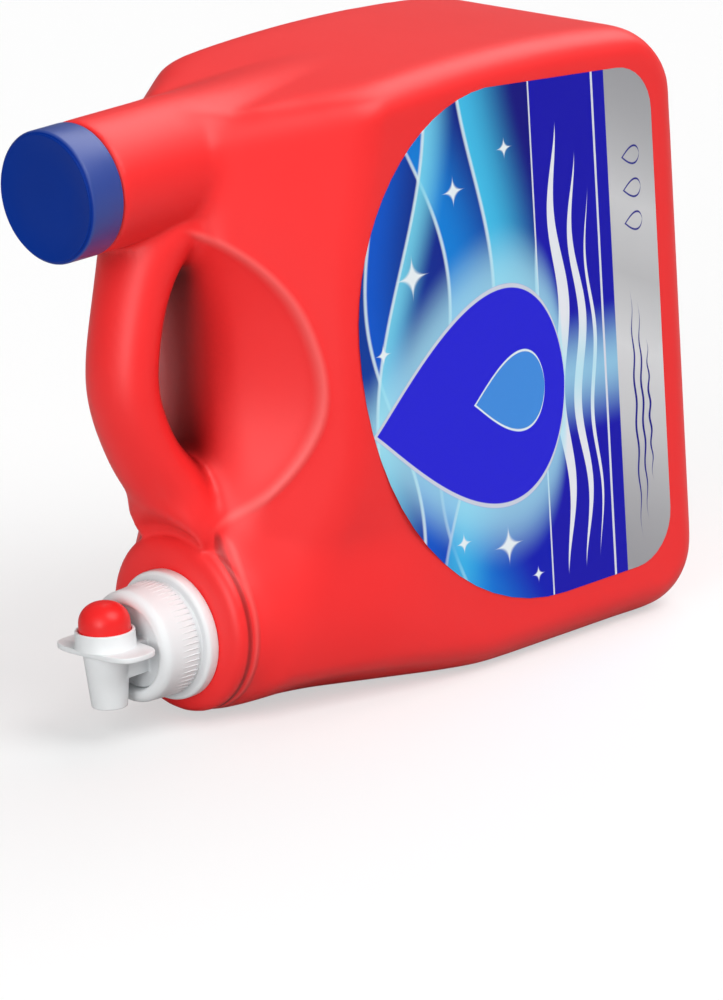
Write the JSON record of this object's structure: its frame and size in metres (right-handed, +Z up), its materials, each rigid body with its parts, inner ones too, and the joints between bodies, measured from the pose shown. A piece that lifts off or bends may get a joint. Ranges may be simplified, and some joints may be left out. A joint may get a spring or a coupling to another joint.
{
  "type": "detergent dispenser bottle",
  "caption": "Large detergent bottle that lies on its long side, with a hollow handle, a screw vent cap on a round neck and a press-button tap with finger wings on a front boss.",
  "frame": {"origin": "middle of the footprint's bounding box, on the surface that the bottle lies on", "axes": "+X runs from the tap and cap to the base, -Y faces the printed label, +Z is up"},
  "size_m": [0.2572, 0.1082, 0.2201],
  "materials": {
    "red_shell": "satin",
    "label_film": "gloss",
    "blue_cap": "satin",
    "white_tap": "satin",
    "red_button": "satin",
    "white_valve": "satin",
    "foam_liner": "matte",
    "grey_gasket": "matte",
    "dark_rubber": "matte",
    "spring_steel": "drawn wire"
  },
  "bodies": {
    "bottle": {"bottle_body": "red_shell", "front_label": "label_film", "tap_collar": "white_tap", "neck_gasket": "grey_gasket", "tap_body": "white_tap", "button_retainer": "white_tap", "stem_seal": "dark_rubber", "return_spring": "spring_steel"},
    "button": {"push_button": "red_button", "valve_stem": "white_valve", "valve_plug": "dark_rubber", "stem_clip": "white_valve"},
    "liner": {"cap_liner": "foam_liner"},
    "cap": {"vent_cap": "blue_cap"}
  },
  "joints": [
    {"name": "button_press", "type": "slide", "parent": "bottle", "child": "button", "axis": [0, 0, -1], "range_m": [0, 0.0036], "stiffness_N_per_m": 600, "springref_m": -0.004, "deforming": ["return_spring"]},
    {"name": "cap_lift", "type": "slide", "parent": "bottle", "child": "liner", "axis": [-1, 0, 0], "range_m": [0, 0.0061]},
    {"name": "cap_turn", "type": "hinge", "parent": "liner", "child": "cap", "pos_m": [-0.12, 0.00013, 0.1967], "axis": [-1, 0, 0], "range_deg": [0, 540]}
  ],
  "couplings": [
    {"joint": "cap_lift", "follows": "cap_turn", "m_per_rad": 0.00063662}
  ]
}
